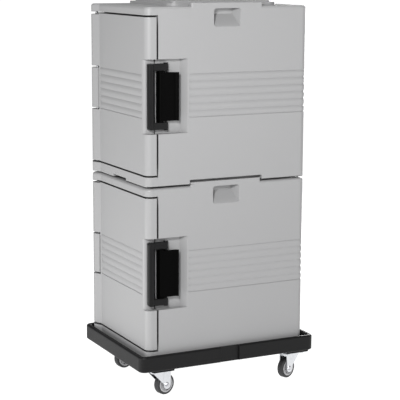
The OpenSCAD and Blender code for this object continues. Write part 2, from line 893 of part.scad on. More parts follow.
module lip_section() {
  wall_h = skirt_h + lip_h;
  translate([-lip_t, 0]) {
    square([lip_t - skirt_round, skirt_h]);
    translate([lip_t - skirt_round, skirt_round]) circle(skirt_round);
    translate([0, skirt_round]) square([lip_t, wall_h - lip_round - skirt_round]);
    translate([lip_round, 0]) square([lip_t - 2 * lip_round, wall_h]);
    for (x = [lip_round, lip_t - lip_round])
      translate([x, wall_h - lip_round]) circle(lip_round);
  }
}

module tray_shape() {
  inner_w = dolly_w - 2 * lip_t;
  inner_d = dolly_d - 2 * lip_t;
  pad_across = plate_len + 2 * pad_room;
  pad_along = plate_w + 2 * pad_room;
  difference() {
    union() {
      translate([0, 0, floor_z - skirt_h]) round_the_box(dolly_w, dolly_d, dolly_r) lip_section();
      translate([-inner_w / 2, -inner_d / 2, floor_z - floor_t])
        linear_extrude(floor_t) round_rect([inner_w, inner_d], dolly_r - lip_t);
      for (i = [0:stiffener_count - 1])
        translate([-inner_w / 2, (i - (stiffener_count - 1) / 2) * inner_d / (stiffener_count + 1)
                   - stiffener_t / 2, floor_z - skirt_h])
          cube([inner_w, stiffener_t, skirt_h - floor_t]);
      translate([-stiffener_t / 2, -inner_d / 2, floor_z - skirt_h])
        cube([stiffener_t, inner_d, skirt_h - floor_t]);
      for (spot = caster_spots)
        translate([spot[0] - pad_across / 2, spot[1] - pad_along / 2, mount_z])
          linear_extrude(pad_h) round_rect([pad_across, pad_along], plate_r);
    }
    for (side = [0, 1])
      mirror([side, 0, 0])
        translate([dolly_w / 2 - strap_deep, -strap_w / 2, floor_z - skirt_h - past])
          cube([strap_deep + past, strap_w, skirt_h + lip_h + 2 * past]);
    bolt_places() bolt_shape(pin_play);
  }
}

module at_caster(i) {
  translate([caster_spots[i][0], caster_spots[i][1], 0]) children();
}

// Turns a caster so that its wheel trails in its own direction; x is the trail
module at_swivel(i) {
  at_caster(i) rotate(caster_spots[i][2]) children();
}

module bolt_shape(play) {
  translate([0, 0, -plate_t]) cylinder(h = plate_t + bolt_in, d = bolt_d + 2 * play);
}

module bolt_places() {
  for (i = [0:3])
    at_caster(i)
      for (x = [-bolt_long / 2, bolt_long / 2], y = [-bolt_wide / 2, bolt_wide / 2])
        translate([x, y, mount_z]) children();
}

module mounting_plate(i) {
  difference() {
    at_caster(i) {
      translate([-plate_len / 2, -plate_w / 2, mount_z - plate_t])
        linear_extrude(plate_t) round_rect([plate_len, plate_w], plate_r);
      translate([0, 0, race_z]) cylinder(h = race_h, r = race_r);
      translate([0, 0, head_z - race_play]) cylinder(h = head_h + 2 * race_play, d = king_d);
      translate([0, 0, head_z - race_play - king_head_h]) cylinder(h = king_head_h, d = king_head_d);
    }
    bolt_places() bolt_shape(pin_play);
  }
}

// One fork leg in side view: x is the trail, y is up
module leg_outline() {
  translate([trail, axle_z]) circle(leg_r);
  translate([trail - leg_r, axle_z]) square([2 * leg_r, head_z + head_h - axle_z]);
}

// The gusset between a fork leg and the swivel head
module gusset_outline() {
  top = head_z + head_h;
  polygon([[-head_r, top], [trail, top], [trail, axle_z],
           [trail - leg_r, axle_z + leg_r / 4], [-head_r, top - head_h]]);
}

module fork_shape(i) {
  at_swivel(i)
    difference() {
      union() {
        translate([0, 0, head_z]) cylinder(h = head_h, r = head_r);
        translate([0, -fork_w / 2 - leg_t, head_z + head_h - leg_t])
          cube([trail + leg_r, fork_w + 2 * leg_t, leg_t]);
        for (side = [0, 1])
          mirror([0, side, 0])
            translate([0, fork_w / 2, 0])
              rotate([90, 0, 0]) mirror([0, 0, 1]) {
                linear_extrude(leg_t + leg_rise) leg_outline();
                linear_extrude(leg_t) gusset_outline();
              }
      }
      translate([0, 0, head_z - past]) cylinder(h = head_h + 2 * past, d = king_d + 2 * pin_play);
      translate([trail, 0, axle_z])
        rotate([90, 0, 0])
          cylinder(h = 2 * fork_w, d = axle_d + 2 * pin_play, center = true);
    }
}

// A six-sided head or nut, from its width across its flats
module six_sided(across, high) {
  cylinder(h = high, d = across / cos(30), $fn = 6);
}

module axle_shape(i) {
  outer = fork_w / 2 + leg_t + leg_rise;
  at_swivel(i)
    translate([trail, 0, axle_z])
      rotate([90, 0, 0]) {
        translate([0, 0, -outer]) cylinder(h = 2 * outer + axle_nut_h + axle_tail, d = axle_d);
        translate([0, 0, outer]) six_sided(axle_head_d, axle_nut_h);
        translate([0, 0, -outer - axle_head_h]) six_sided(axle_head_d, axle_head_h);
      }
}

// Section of the hub: x is out from the axle, y is along it
module hub_section() {
  half = fork_w / 2 - hub_play;
  bore_r = axle_d / 2 + pin_play;
  translate([bore_r, -half]) square([hub_boss_d / 2 - bore_r, 2 * half]);
  translate([bore_r, -tyre_w / 2 + hub_dish])
    square([hub_d / 2 - bore_r, tyre_w - 2 * hub_dish]);
  translate([hub_d / 2 - hub_dish, -tyre_w / 2]) square([hub_dish, tyre_w]);
}

module hub_shape(i) {
  rib_w = tyre_w - 2 * spoke_sink;
  at_swivel(i)
    translate([trail, 0, axle_z])
      rotate([90, 0, 0]) {
        rotate_extrude() hub_section();
        for (spoke = [0:spoke_count - 1])
          rotate(spoke * 360 / spoke_count)
            translate([hub_boss_d / 2 - spoke_t, -spoke_t / 2, -rib_w / 2])
              cube([hub_d / 2 - hub_boss_d / 2, spoke_t, rib_w]);
      }
}

// Section of the tyre with round shoulders
module tyre_section() {
  difference() {
    union() {
      translate([hub_d / 2, -tyre_w / 2]) square([wheel_d / 2 - hub_d / 2 - tyre_r, tyre_w]);
      translate([hub_d / 2, -tyre_w / 2 + tyre_r])
        square([wheel_d / 2 - hub_d / 2, tyre_w - 2 * tyre_r]);
      for (y = [-tyre_w / 2 + tyre_r, tyre_w / 2 - tyre_r])
        translate([wheel_d / 2 - tyre_r, y]) circle(tyre_r);
    }
    translate([0, -tyre_w / 2 - past]) square([hub_d / 2, tyre_w + 2 * past]);
  }
}

module tyre_shape(i) {
  at_swivel(i)
    translate([trail, 0, axle_z]) rotate([90, 0, 0]) rotate_extrude() tyre_section();
}

// Sub-parts
module at_level(level) {
  translate([0, 0, carrier_z(level)]) children();
}

module dolly_tray() { color(dolly_grey) tray_shape(); }
module caster_bolts() {
  color(zinc)
    bolt_places() {
      bolt_shape(0);
      translate([0, 0, -plate_t - bolt_head_h]) six_sided(bolt_head_d, bolt_head_h);
    }
}
module caster_plate(i) { color(zinc) mounting_plate(i); }
module caster_fork(i) { color(zinc) fork_shape(i); }
module caster_axle(i) { color(steel) axle_shape(i); }
module caster_hub(i) { color(hub_grey) hub_shape(i); }
module caster_tyre(i) { color(tyre_grey) tyre_shape(i); }
module cabinet(level) { color(shell_grey) at_level(level) cabinet_shell(); }
module door(level) { color(shell_grey) at_level(level) door_panel(); }
module door_gasket(level) { color(rubber_black) at_level(level) gasket_ring(); }
module hinge_pin(level) { color(steel) at_level(level) hinge_pin_rod(); }
module latch_base(level) { color(latch_black) at_level(level) latch_base_plate(); }
module latch_screws(level) { color(steel) at_level(level) latch_screw_places() screw_shape(0); }
module latch_pivot(level) { color(steel) at_level(level) pivot_rod(); }
module latch_lever(level) { color(latch_black) at_level(level) lever_shape(); }
module latch_bail(level) { color(latch_black) at_level(level) bail_shape(); }
module latch_bail_pins(level) { color(steel) at_level(level) bail_pin_rods(); }

dolly_tray();
caster_bolts();
caster_plate(0);  // caster_plate_1
caster_plate(1);  // caster_plate_2
caster_plate(2);  // caster_plate_3
caster_plate(3);  // caster_plate_4
caster_fork(0);  // caster_fork_1
caster_fork(1);  // caster_fork_2
caster_fork(2);  // caster_fork_3
caster_fork(3);  // caster_fork_4
caster_axle(0);  // caster_axle_1
caster_axle(1);  // caster_axle_2
caster_axle(2);  // caster_axle_3
caster_axle(3);  // caster_axle_4
caster_hub(0);  // caster_hub_1
caster_hub(1);  // caster_hub_2
caster_hub(2);  // caster_hub_3
caster_hub(3);  // caster_hub_4
caster_tyre(0);  // caster_tyre_1
caster_tyre(1);  // caster_tyre_2
caster_tyre(2);  // caster_tyre_3
caster_tyre(3);  // caster_tyre_4
cabinet(0);  // lower_cabinet
door(0);  // lower_door
door_gasket(0);  // lower_door_gasket
hinge_pin(0);  // lower_hinge_pin
latch_base(0);  // lower_latch_base
latch_screws(0);  // lower_latch_screws
latch_pivot(0);  // lower_latch_pivot
latch_lever(0);  // lower_latch_lever
latch_bail(0);  // lower_latch_bail
latch_bail_pins(0);  // lower_latch_bail_pins
cabinet(1);  // upper_cabinet
door(1);  // upper_door
door_gasket(1);  // upper_door_gasket
hinge_pin(1);  // upper_hinge_pin
latch_base(1);  // upper_latch_base
latch_screws(1);  // upper_latch_screws
latch_pivot(1);  // upper_latch_pivot
latch_lever(1);  // upper_latch_lever
latch_bail(1);  // upper_latch_bail
latch_bail_pins(1);  // upper_latch_bail_pins
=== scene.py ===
"""Looks of two stacked, insulated food pan carriers on a caster dolly.

The carriers, dolly and casters come from the CAD frame. This file gives them their
finishes, adds the heads of the latches' bail pins, and sets up the studio.
"""

import math

import bmesh
import bpy
from mathutils import Matrix, Vector


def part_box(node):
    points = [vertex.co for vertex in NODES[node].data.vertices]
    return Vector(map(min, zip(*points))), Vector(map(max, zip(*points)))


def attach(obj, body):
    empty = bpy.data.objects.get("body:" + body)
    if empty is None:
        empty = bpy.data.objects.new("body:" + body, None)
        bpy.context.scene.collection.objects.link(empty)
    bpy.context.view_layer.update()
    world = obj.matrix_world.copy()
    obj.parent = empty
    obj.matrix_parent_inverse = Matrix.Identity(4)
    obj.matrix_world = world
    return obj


bl_info = {
    "name": "Stacked Pan Carriers",
    "version": (1, 0, 0),
    "blender": (4, 5, 0),
    "location": "View3D > Sidebar > Pan Carriers",
    "description": "Dresses two stacked insulated pan carriers and their dolly",
    "category": "Object",
}

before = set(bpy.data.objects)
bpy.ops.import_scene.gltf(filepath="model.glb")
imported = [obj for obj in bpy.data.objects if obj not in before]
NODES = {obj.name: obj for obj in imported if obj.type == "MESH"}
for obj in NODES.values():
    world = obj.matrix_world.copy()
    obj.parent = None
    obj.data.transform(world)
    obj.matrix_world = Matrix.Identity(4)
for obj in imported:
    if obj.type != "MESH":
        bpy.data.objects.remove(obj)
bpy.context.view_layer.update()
LEVELS = ("lower", "upper")
CASTERS = (1, 2, 3, 4)
MM = 0.001

# Vertices closer than this are one, and edges sharper than this stay sharp.
MERGE = 1e-6
SHARP = math.radians(35)

# A bail pin's head, from its crown to its foot: share of its radius, height in mm.
HEAD_DOME = ((0.0, 1.6), (0.45, 1.45), (0.8, 1.0), (1.0, 0.3), (1.0, 0.0), (0.0, 0.0))
HEAD_STEPS = 24

# Shade painted into the shells' colour along each seam: half the gap round a door, how deep
# the painted shade goes into it from the flank and from the front, and how far the seam
# between carriers is shaded. The flank is found by the square of x, so its shade fades over
# square metres.
HALF_GAP = 2.25 * MM
FLANK_RIM = 8 * MM
FLANK_FADE = 0.0004
FRONT_RIM = 7 * MM
STACK_REACH = 1.8 * MM

# The stretch of a flank that holds the locating lug, where the carriers' seam steps up.
LUG_MIDDLE = -7 * MM
LUG_REACH = 141 * MM

# Soft boxes: name, place, point faced, side in metres, and the setting of the power.
SOFT_BOXES = (
    ("key_box", (2.62, -1.95, 2.05), (0.15, -0.20, 0.85), 0.5, "key_light"),
    ("side_box", (3.00, 1.80, 1.00), (0.23, 0.10, 0.70), 1.4, "side_light"),
    ("back_box", (-2.40, 2.80, 1.50), (-0.10, 0.10, 0.75), 1.6, "back_light"),
    ("top_box", (0.00, 0.00, 4.00), (0.00, 0.00, 0.00), 2.0, "top_light"),
    ("low_box", (0.10, -1.15, 0.25), (0.00, -0.31, 0.45), 0.5, "low_light"),
)

# The floor's reach and its cells along a side, how far the camera sees, and the width
# of its sensor in mm.
FLOOR_SIZE = 400.0
FLOOR_CELLS = 8
FAR = 2000.0
SENSOR = 36.0


# ---------------------------------------------------------------- settings


class ShellSettings(bpy.types.PropertyGroup):
    """Moulded polyethylene of the carriers."""

    colour: bpy.props.FloatVectorProperty(
        name="Colour", description="Light grey of the moulded shells",
        subtype="COLOR", size=3, min=0.0, max=1.0, default=(0.280, 0.280, 0.283))
    speckle: bpy.props.FloatProperty(
        name="Speckle", description="How far the grey wanders over a shell",
        min=0.0, max=0.3, default=0.05)
    roughness: bpy.props.FloatProperty(
        name="Roughness", description="Roughness of the satin skin",
        min=0.1, max=1.0, default=0.42)
    peel: bpy.props.FloatProperty(
        name="Orange peel", description="Height of the skin's fine waviness",
        unit="LENGTH", min=0.0, max=0.001, default=0.00022)
    edge: bpy.props.FloatProperty(
        name="Edge rounding", description="Radius that the light sees on a moulded edge",
        unit="LENGTH", min=0.0, max=0.01, default=0.0022)
    # The seam and seam shade settings paint shade into the shells' colour along each seam of
    # the doors and between the carriers.
    seam: bpy.props.FloatProperty(
        name="Seam", description="How far the shade of a door's seam reaches past its gap",
        unit="LENGTH", min=0.0, max=0.005, default=0.0012)
    seam_shade: bpy.props.FloatProperty(
        name="Seam shade", description="How much darker the shells are at a seam",
        min=0.0, max=1.0, default=0.90)


class LatchSettings(bpy.types.PropertyGroup):
    """Black nylon of the latches."""

    colour: bpy.props.FloatVectorProperty(
        name="Colour", description="Black of the latch's paddle and base",
        subtype="COLOR", size=3, min=0.0, max=1.0, default=(0.0006, 0.0006, 0.0006))
    sheen: bpy.props.FloatProperty(
        name="Sheen", description="How much the paddle and base shine",
        min=0.0, max=1.0, default=0.03)
    bail_colour: bpy.props.FloatVectorProperty(
        name="Bail colour", description="Black of the latch's bail",
        subtype="COLOR", size=3, min=0.0, max=1.0, default=(0.0040, 0.0040, 0.0043))
    bail_sheen: bpy.props.FloatProperty(
        name="Bail sheen", description="How much the bail shines",
        min=0.0, max=1.0, default=0.16)
    roughness: bpy.props.FloatProperty(
        name="Roughness", description="Roughness of the latch nylon",
        min=0.1, max=1.0, default=0.38)
    head: bpy.props.FloatProperty(
        name="Pin head", description="Radius of the domed head on a bail pin",
        unit="LENGTH", min=0.002, max=0.006, default=0.0042)


class DollySettings(bpy.types.PropertyGroup):
    """Moulded dolly."""

    colour: bpy.props.FloatVectorProperty(
        name="Colour", description="Near black of the dolly",
        subtype="COLOR", size=3, min=0.0, max=1.0, default=(0.0040, 0.0040, 0.0043))
    roughness: bpy.props.FloatProperty(
        name="Roughness", description="Roughness of the dolly's grained skin",
        min=0.1, max=1.0, default=0.48)
    sheen: bpy.props.FloatProperty(
        name="Sheen", description="How much the dolly shines",
        min=0.0, max=1.0, default=0.20)
    grain: bpy.props.FloatProperty(
        name="Grain", description="Height of the dolly's grained skin",
        unit="LENGTH", min=0.0, max=0.001, default=0.0003)


class CasterSettings(bpy.types.PropertyGroup):
    """Plated steel and wheels."""

    zinc: bpy.props.FloatVectorProperty(
        name="Zinc", description="Colour of the zinc plating",
        subtype="COLOR", size=3, min=0.0, max=1.0, default=(0.62, 0.63, 0.65))
    hub: bpy.props.FloatVectorProperty(
        name="Hub", description="Colour of the moulded hubs",
        subtype="COLOR", size=3, min=0.0, max=1.0, default=(0.36, 0.36, 0.37))
    tyre: bpy.props.FloatVectorProperty(
        name="Tyre", description="Colour of the tyres",
        subtype="COLOR", size=3, min=0.0, max=1.0, default=(0.020, 0.020, 0.021))


class StageSettings(bpy.types.PropertyGroup):
    """Camera, floor and light."""

    camera: bpy.props.FloatVectorProperty(
        name="Camera", description="Where the camera stands",
        subtype="TRANSLATION", unit="LENGTH", size=3, default=(4.3002, -2.1654, 1.4969))
    azimuth: bpy.props.FloatProperty(
        name="Azimuth",
        description="Direction of the camera from the front, towards the latches",
        subtype="ANGLE", default=math.radians(63.199))
    elevation: bpy.props.FloatProperty(
        name="Elevation", description="How far the camera looks down",
        subtype="ANGLE", default=math.radians(9.978))
    roll: bpy.props.FloatProperty(
        name="Roll", description="Tilt of the camera about its own axis",
        subtype="ANGLE", default=math.radians(0.242))
    lens: bpy.props.FloatProperty(
        name="Lens", description="Focal length on a 36 mm wide sensor",
        min=20.0, max=300.0, default=121.29)
    floor: bpy.props.FloatVectorProperty(
        name="Floor", description="Colour of the pale floor",
        subtype="COLOR", size=3, min=0.0, max=1.0, default=(0.28, 0.28, 0.28))
    floor_glow: bpy.props.FloatProperty(
        name="Floor glow",
        description="Strength of the light that comes up through the floor",
        min=0.0, max=5.0, default=1.0)
    sky: bpy.props.FloatProperty(
        name="Sky", description="Strength of the light from all round",
        min=0.0, max=5.0, default=0.22)
    key_light: bpy.props.FloatProperty(
        name="Key light", description="Power of the soft box left of the camera, in watts",
        min=0.0, max=2000.0, default=106.0)
    side_light: bpy.props.FloatProperty(
        name="Side light",
        description="Power of the broad soft box right of the camera, in watts",
        min=0.0, max=2000.0, default=16.0)
    back_light: bpy.props.FloatProperty(
        name="Back light",
        description="Power of the broad soft box behind the carriers, in watts",
        min=0.0, max=2000.0, default=100.0)
    top_light: bpy.props.FloatProperty(
        name="Top light", description="Power of the broad soft box overhead, in watts",
        min=0.0, max=2000.0, default=45.0)
    low_light: bpy.props.FloatProperty(
        name="Low light", description="Power of the low soft box before the doors, in watts",
        min=0.0, max=2000.0, default=3.6)


SETTINGS = {
    "pan_shell": ShellSettings,
    "pan_latch": LatchSettings,
    "pan_dolly": DollySettings,
    "pan_caster": CasterSettings,
    "pan_stage": StageSettings,
}


def settings(name):
    """The scene's own values of one group of settings."""
    return getattr(bpy.context.scene, name)


# ---------------------------------------------------------------- shader nodes


def fill(tree, slot, value):
    """Links a wire to a socket, or sets the socket to a value."""
    if isinstance(value, Wire):
        tree.links.new(value.socket, slot)
    else:
        slot.default_value = value


def add_node(tree, kind, settings=None, **values):
    """Adds a node, sets it up, fills its sockets and gives its outputs by name."""
    made = tree.nodes.new(kind)
    for key, value in (settings or {}).items():
        setattr(made, key, value)
    for key, value in values.items():
        fill(tree, made.inputs[key.replace("_", " ")], value)
    return {out.name: Wire(tree, out) for out in made.outputs}


class Wire:
    """A number on its way through a node tree, which can be used in an expression."""

    def __init__(self, tree, socket):
        self.tree = tree
        self.socket = socket

    def _math(self, operation, *values):
        node = self.tree.nodes.new("ShaderNodeMath")
        node.operation = operation
        for slot, value in zip(node.inputs, values):
            fill(self.tree, slot, value)
        return Wire(self.tree, node.outputs[0])

    def __add__(self, other):
        return self._math("ADD", self, other)

    def __radd__(self, other):
        return self._math("ADD", other, self)

    def __sub__(self, other):
        return self._math("SUBTRACT", self, other)

    def __rsub__(self, other):
        return self._math("SUBTRACT", other, self)

    def __mul__(self, other):
        return self._math("MULTIPLY", self, other)

    def __rmul__(self, other):
        return self._math("MULTIPLY", other, self)

    def above(self, level, soft):
        """0 below level, 1 above level + soft, and smooth between."""
        return add_node(self.tree, "ShaderNodeMapRange", {"interpolation_type": "SMOOTHSTEP"},
                        Value=self, From_Min=level, From_Max=level + soft)["Result"]

    def near(self, middle, reach):
        """1 within a reach of a middle, 0 outside it, and smooth between."""
        away = self - middle
        fade = 0.6 * reach * reach
        return 1.0 - (away * away).above(fade, fade)


class Finish:
    """A material with one Principled shader, which patterns on object coordinates feed."""

    def __init__(self, name):
        self.material = bpy.data.materials.new(name)
        self.material.use_nodes = True
        self.tree = self.material.node_tree
        self.shader = next(n for n in self.tree.nodes if n.type == "BSDF_PRINCIPLED")
        self.place = self.node("ShaderNodeTexCoord")["Object"]

    def node(self, kind, settings=None, **values):
        """Any node other than a Math node."""
        return add_node(self.tree, kind, settings, **values)

    def set(self, **values):
        """Fills sockets of the Principled shader."""
        for key, value in values.items():
            fill(self.tree, self.shader.inputs[key.replace("_", " ")], value)
        return self

    def noise(self, scale, detail, roughness=0.5, stretch=(1.0, 1.0, 1.0)):
        """Noise from about 0 to 1, on object coordinates in metres."""
        place = self.node("ShaderNodeMapping", Vector=self.place, Scale=stretch)["Vector"]
        found = self.node("ShaderNodeTexNoise", Vector=place, Scale=scale, Detail=detail,
                          Roughness=roughness)
        return next(iter(found.values()))

    def mottle(self, scale, detail):
        """Noise round 0, for what goes lighter and darker alike."""
        return self.noise(scale, detail) - 0.5

    def axes(self):
        """The three coordinates of the place, in metres."""
        return self.node("ShaderNodeSeparateXYZ", Vector=self.place).values()

    def shaded(self, colour, amount):
        """A colour made lighter or darker by a number round 0."""
        brightness = 1.0 + amount
        red, green, blue = (brightness * channel for channel in colour)
        return self.node("ShaderNodeCombineColor", Red=red, Green=green, Blue=blue)["Color"]

    def relief(self, height, depth, edge):
        """Turns a height from 0 to 1 into a bump over rounded edges."""
        rounded = self.node("ShaderNodeBevel", {"samples": 4}, Radius=edge)["Normal"]
        bump = self.node("ShaderNodeBump", Height=height, Distance=depth, Normal=rounded)
        return self.set(Normal=bump["Normal"])


# ---------------------------------------------------------------- finishes
# The number after a pattern is how far it moves the tone or the roughness.


def painted_shade_at_seams(made, past_gap):
    """1 in the outer rim of each seam of the shells, where shade is painted into the colour.
    """
    x, y, z = made.axes()
    half_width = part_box("lower_cabinet")[1].x
    slab_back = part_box("lower_door_gasket")[0].y
    slab_front = -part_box("lower_cabinet")[1].y
    reach = HALF_GAP + past_gap
    doors = [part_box(f"{level}_door") for level in LEVELS]
    flank = (x * x).above((half_width - FLANK_RIM) ** 2, FLANK_FADE)
    rim = (flank + (1.0 - y.above(slab_front + FRONT_RIM, MM))).above(0.0, 1.0)
    before_cabinet = 1.0 - y.above(slab_back + 1.5 * HALF_GAP, MM)
    beside_door = sum(z.near((low.z + high.z) / 2, (high.z - low.z) / 2 + reach)
                      for low, high in doors)
    level_lines = sum(z.near(line, reach) for low, high in doors
                      for line in (low.z - HALF_GAP, high.z + HALF_GAP))
    back_line = y.near(slab_back + HALF_GAP, reach) * flank * beside_door
    off_lugs = 1.0 - y.near(LUG_MIDDLE, LUG_REACH)
    stacked = z.near(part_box("upper_cabinet")[0].z, STACK_REACH) * flank * off_lugs
    return (back_line + level_lines * rim * before_cabinet + stacked).above(0.0, 1.0)


def moulded_shell():
    """Rotationally moulded polyethylene: satin, faintly mottled, with an orange-peel skin."""
    look = settings("pan_shell")
    made = Finish("moulded_shell")
    cloud = made.mottle(scale=2.6, detail=3.0)
    fleck = made.mottle(scale=900.0, detail=1.0)
    rub = made.noise(scale=34.0, detail=4.0, roughness=0.7, stretch=(1.0, 1.0, 0.25))
    rub = rub.above(0.62, soft=0.16)
    coarse_peel = made.noise(scale=190.0, detail=2.0, roughness=0.55)
    fine_peel = made.noise(scale=620.0, detail=1.0)
    fleck_share, rub_pale, peel_share = 0.8, 0.018, 0.7
    tone = cloud * look.speckle + fleck * (look.speckle * fleck_share) + rub * rub_pale
    # The base colour is darkened along each seam as painted shade. The rubbed patches are
    # paler wear.
    made.set(Base_Color=made.shaded(look.colour,
                                    tone - painted_shade_at_seams(made, look.seam) * look.seam_shade),
             Roughness=look.roughness + cloud * 0.10 - rub * 0.05,
             Specular_IOR_Level=0.42)
    peel = coarse_peel * peel_share + fine_peel * (1.0 - peel_share)
    return made.relief(peel, look.peel, look.edge).material


def latch_nylon(name, colour, sheen):
    """Glass-filled nylon: deep black, with a fine spark grain and rubbed high spots."""
    look = settings("pan_latch")
    made = Finish(name)
    cloud = made.mottle(scale=30.0, detail=3.0)
    rub = made.noise(scale=160.0, detail=3.0, roughness=0.6, stretch=(1.0, 1.0, 0.15))
    rub = rub.above(0.60, soft=0.2)
    grain = made.noise(scale=1500.0, detail=1.0)
    made.set(Base_Color=made.shaded(colour, cloud * 0.5 + rub * 0.6),
             Roughness=look.roughness + cloud * 0.14 + rub * 0.08,
             Specular_IOR_Level=sheen)
    return made.relief(grain, depth=0.09 * MM, edge=0.9 * MM).material


def dolly_plastic():
    """Moulded dolly: near black, with a leathery grain and scuffs along its skirt."""
    look = settings("pan_dolly")
    made = Finish("dolly_plastic")
    cloud = made.mottle(scale=5.0, detail=3.0)
    scuff = made.noise(scale=70.0, detail=5.0, roughness=0.7, stretch=(0.3, 0.3, 1.6))
    scuff = scuff.above(0.64, soft=0.10)
    grain = made.noise(scale=420.0, detail=3.0, roughness=0.6)
    made.set(Base_Color=made.shaded(look.colour, cloud * 0.5 + scuff * 0.9),
             Roughness=look.roughness + cloud * 0.12 + scuff * 0.15,
             Specular_IOR_Level=look.sheen)
    return made.relief(grain, depth=look.grain, edge=1.8 * MM).material


def zinc_plate():
    """Bright zinc plating over pressed steel: soft spangle and a few dull patches."""
    look = settings("pan_caster")
    made = Finish("zinc_plate")
    cloud = made.mottle(scale=60.0, detail=3.0)
    dull = made.noise(scale=24.0, detail=4.0, roughness=0.65).above(0.55, soft=0.2)
    scratch = made.noise(scale=500.0, detail=2.0, stretch=(1.0, 1.0, 0.08))
    made.set(Base_Color=made.shaded(look.zinc, cloud * 0.14 - dull * 0.10),
             Metallic=1.0,
             Roughness=0.30 + cloud * 0.16 + dull * 0.16)
    return made.relief(scratch, depth=0.04 * MM, edge=0.8 * MM).material


def turned_steel():
    """Pins and axles: turned along their length."""
    made = Finish("turned_steel")
    turning = made.noise(scale=1400.0, detail=1.0, stretch=(0.1, 0.1, 1.0))
    cloud = made.mottle(scale=90.0, detail=2.0)
    made.set(Base_Color=made.shaded((0.58, 0.58, 0.60), cloud * 0.2),
             Metallic=1.0,
             Roughness=0.26 + turning * 0.14)
    return made.relief(turning, depth=0.03 * MM, edge=0.4 * MM).material


def tyre_rubber():
    """Hard grey-black tyre with dust in its pores."""
    look = settings("pan_caster")
    made = Finish("tyre_rubber")
    dust = made.noise(scale=120.0, detail=4.0, roughness=0.7).above(0.50, soft=0.25)
    grain = made.noise(scale=1100.0, detail=2.0)
    made.set(Base_Color=made.shaded(look.tyre, dust * 0.9),
             Roughness=0.55 + dust * 0.2,
             Specular_IOR_Level=0.4)
    return made.relief(grain, depth=0.08 * MM, edge=0.8 * MM).material


def hub_plastic():
    """Light grey moulded hub."""
    look = settings("pan_caster")
    made = Finish("hub_plastic")
    cloud = made.mottle(scale=70.0, detail=3.0)
    grain = made.noise(scale=900.0, detail=1.0)
    made.set(Base_Color=made.shaded(look.hub, cloud * 0.16),
             Roughness=0.34 + cloud * 0.1)
    return made.relief(grain, depth=0.05 * MM, edge=0.8 * MM).material


def seal_rubber():
    """Soft black door seal with a faint bloom."""
    made = Finish("seal_rubber")
    bloom = made.noise(scale=55.0, detail=4.0, roughness=0.6).above(0.48, soft=0.3)
    grain = made.noise(scale=1300.0, detail=1.0)
    made.set(Base_Color=made.shaded((0.020, 0.020, 0.021), bloom * 0.5),
             Roughness=0.62 + bloom * 0.12)
    return made.relief(grain, depth=0.06 * MM, edge=0.6 * MM).material


def pale_floor():
    """Seamless pale studio floor, very slightly uneven."""
    look = settings("pan_stage")
    made = Finish("pale_floor")
    cloud = made.mottle(scale=0.8, detail=2.0)
    made.set(Base_Color=made.shaded(look.floor, cloud * 0.01),
             Emission_Color=(1.0, 1.0, 1.0, 1.0),
             Emission_Strength=look.floor_glow,
             Roughness=0.9,
             Specular_IOR_Level=0.1)
    return made.material


# ---------------------------------------------------------------- making pieces


def wear(node_names, material):
    """Puts one material on CAD nodes."""
    for name in node_names:
        NODES[name].data.materials.clear()
        NODES[name].data.materials.append(material)


def level_nodes(*endings):
    """The names of both carriers' nodes with these endings."""
    return [f"{level}_{ending}" for level in LEVELS for ending in endings]


def caster_nodes(part):
    """The names of one part of all four casters."""
    return [f"caster_{part}_{number}" for number in CASTERS]


def place(name, data):
    """Puts mesh, light or camera data in the scene as an object."""
    made = bpy.data.objects.new(name, data)
    bpy.context.scene.collection.objects.link(made)
    return made


def to_mesh(name, shape, material):
    """Makes a bmesh a mesh of one material."""
    mesh = bpy.data.meshes.new(name)
    shape.to_mesh(mesh)
    shape.free()
    mesh.materials.append(material)
    return mesh


def piece(name, shape, material, body):
    """Makes a bmesh an object of one material that moves with a body."""
    bmesh.ops.remove_doubles(shape, verts=shape.verts, dist=MERGE)
    bmesh.ops.recalc_face_normals(shape, faces=shape.faces)
    mesh = to_mesh(name, shape, material)
    mesh.polygons.foreach_set("use_smooth", [True] * len(mesh.polygons))
    mesh.set_sharp_from_angle(angle=SHARP)
    made = place(name, mesh)
    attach(made, body)
    return made


def turned(shape, profile, steps):
    """Spins a profile of (radius, height) points about Z and closes the ends."""
    points = [shape.verts.new((radius, 0.0, height)) for radius, height in profile]
    edges = [shape.edges.new(pair) for pair in zip(points, points[1:])]
    bmesh.ops.spin(shape, geom=points + edges, cent=(0, 0, 0), axis=(0, 0, 1),
                   angle=2 * math.pi, steps=steps, use_merge=True)
    bmesh.ops.remove_doubles(shape, verts=shape.verts, dist=MERGE)


def along(point, axis):
    """The transform that stands +Z along an axis at a point."""
    turn = Vector(axis).to_track_quat("Z", "Y").to_matrix().to_4x4()
    return Matrix.Translation(point) @ turn


def bail_pin_heads(level):
    """Domed heads on the ends of the bail's pins."""
    look = settings("pan_latch")
    low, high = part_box(f"{level}_latch_bail_pins")
    middle = (low + high) / 2
    dome = [(look.head * share, height * MM) for share, height in HEAD_DOME]
    shape = bmesh.new()
    for up in (1, -1):
        head = bmesh.new()
        turned(head, dome, HEAD_STEPS)
        end = Vector((middle.x, middle.y, high.z if up > 0 else low.z))
        bmesh.ops.transform(head, matrix=along(end, (0, 0, up)), verts=head.verts)
        copy = bpy.data.meshes.new("head")
        head.to_mesh(copy)
        head.free()
        shape.from_mesh(copy)
        bpy.data.meshes.remove(copy)
    return shape


# ---------------------------------------------------------------- stage


def studio_world(strength):
    """Even white light from all round."""
    world = bpy.data.worlds.new("studio")
    world.use_nodes = True
    background = world.node_tree.nodes["Background"]
    background.inputs["Color"].default_value = (1, 1, 1, 1)
    background.inputs["Strength"].default_value = strength
    bpy.context.scene.world = world


def soft_box(name, spot, target, size, power):
    """A square area light that faces a point."""
    light = bpy.data.lights.new(name, "AREA")
    light.shape = "SQUARE"
    light.size = size
    light.energy = power
    lamp = place(name, light)
    lamp.location = spot
    lamp.rotation_mode = "QUATERNION"
    lamp.rotation_quaternion = (Vector(target) - Vector(spot)).to_track_quat("-Z", "Y")


